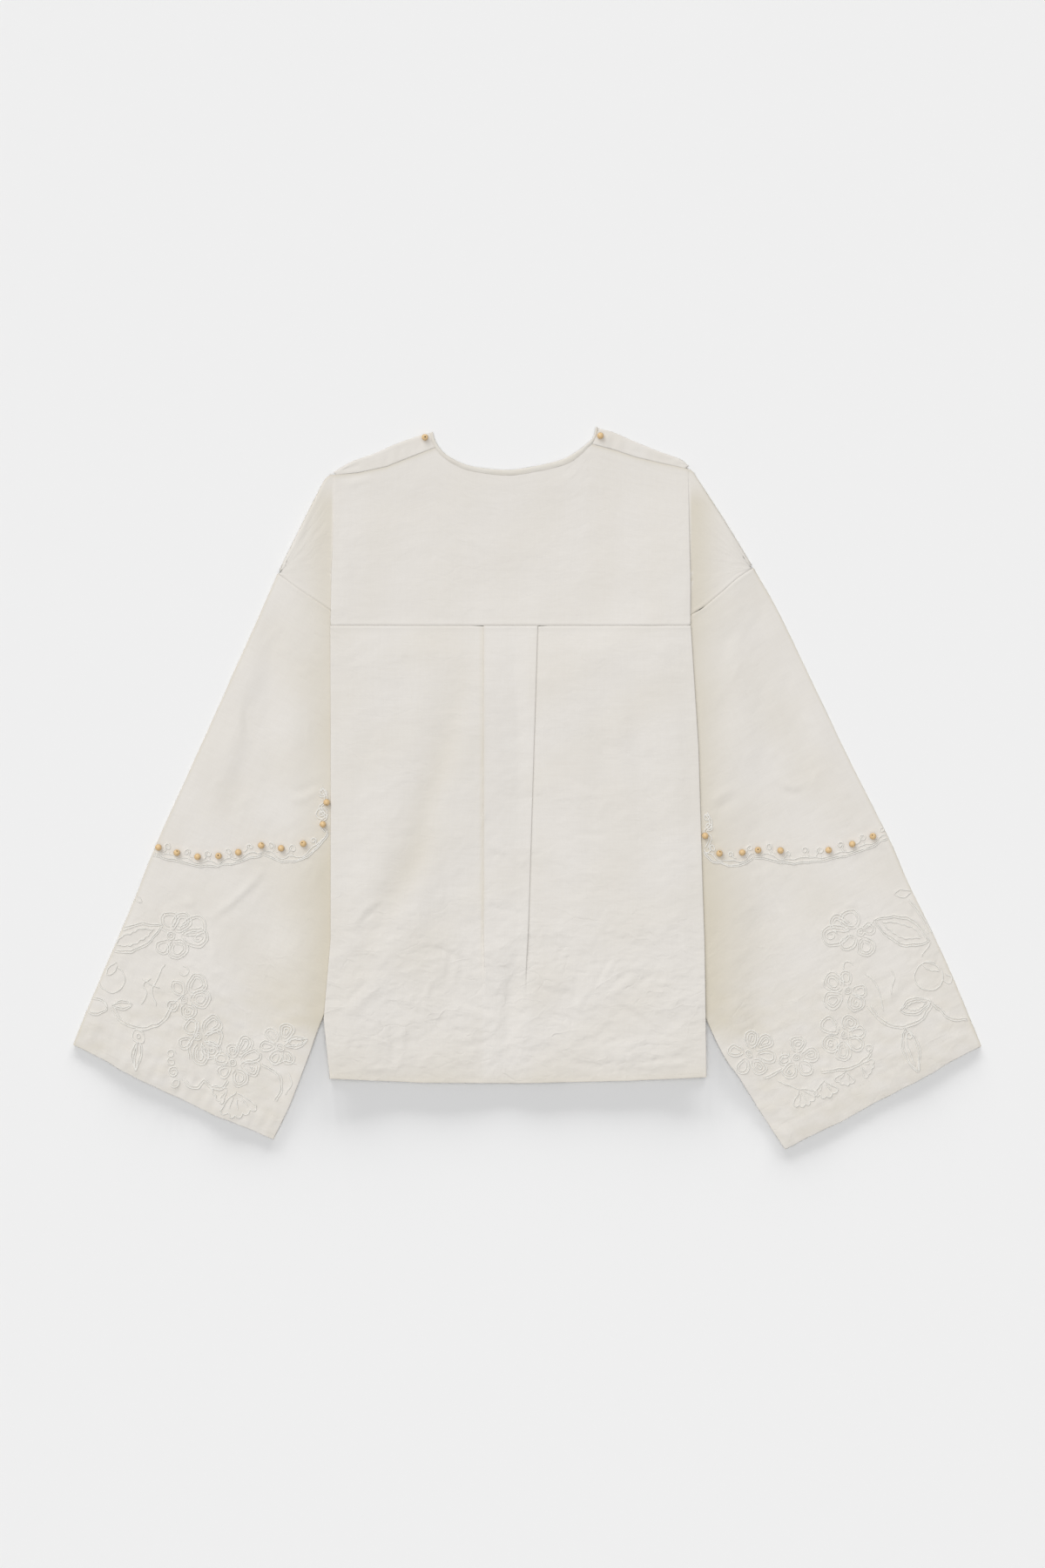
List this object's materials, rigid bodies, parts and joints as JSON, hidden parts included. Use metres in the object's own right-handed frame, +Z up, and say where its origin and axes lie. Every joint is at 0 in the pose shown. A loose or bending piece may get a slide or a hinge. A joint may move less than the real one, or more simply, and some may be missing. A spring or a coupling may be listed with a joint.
{
  "type": "embroidered blouse laid flat",
  "caption": "Collarless wide-sleeved blouse laid flat with its back up, with a yoke, a box pleat, corded embroidery and wooden beads on the sleeves.",
  "frame": {"origin": "middle of the blouse's box on the surface it lies on", "axes": "+X towards the right sleeve of the picture, +Y from the hem to the neck, +Z up off the surface"},
  "size_m": [0.9071, 0.7213, 0.0124],
  "materials": {
    "cloth": "matte ivory cotton and linen weave",
    "binding": "matte bias strip of the same cloth",
    "wood": "smooth light honey wood"
  },
  "bodies": {
    "root": {"front_panel": "cloth", "back_panel": "cloth", "back_yoke": "cloth", "front_shoulder_left": "cloth", "front_shoulder_right": "cloth", "sleeve_left": "cloth", "sleeve_right": "cloth", "neck_binding": "binding", "bead_left_1": "wood", "bead_left_2": "wood", "bead_left_3": "wood", "bead_left_4": "wood", "bead_left_5": "wood", "bead_left_6": "wood", "bead_left_7": "wood", "bead_left_8": "wood", "bead_left_9": "wood", "bead_left_10": "wood", "bead_right_1": "wood", "bead_right_2": "wood", "bead_right_3": "wood", "bead_right_4": "wood", "bead_right_5": "wood", "bead_right_6": "wood", "bead_right_7": "wood", "bead_right_8": "wood", "bead_neck_left": "wood", "bead_neck_right": "wood"}
  },
  "joints": []
}
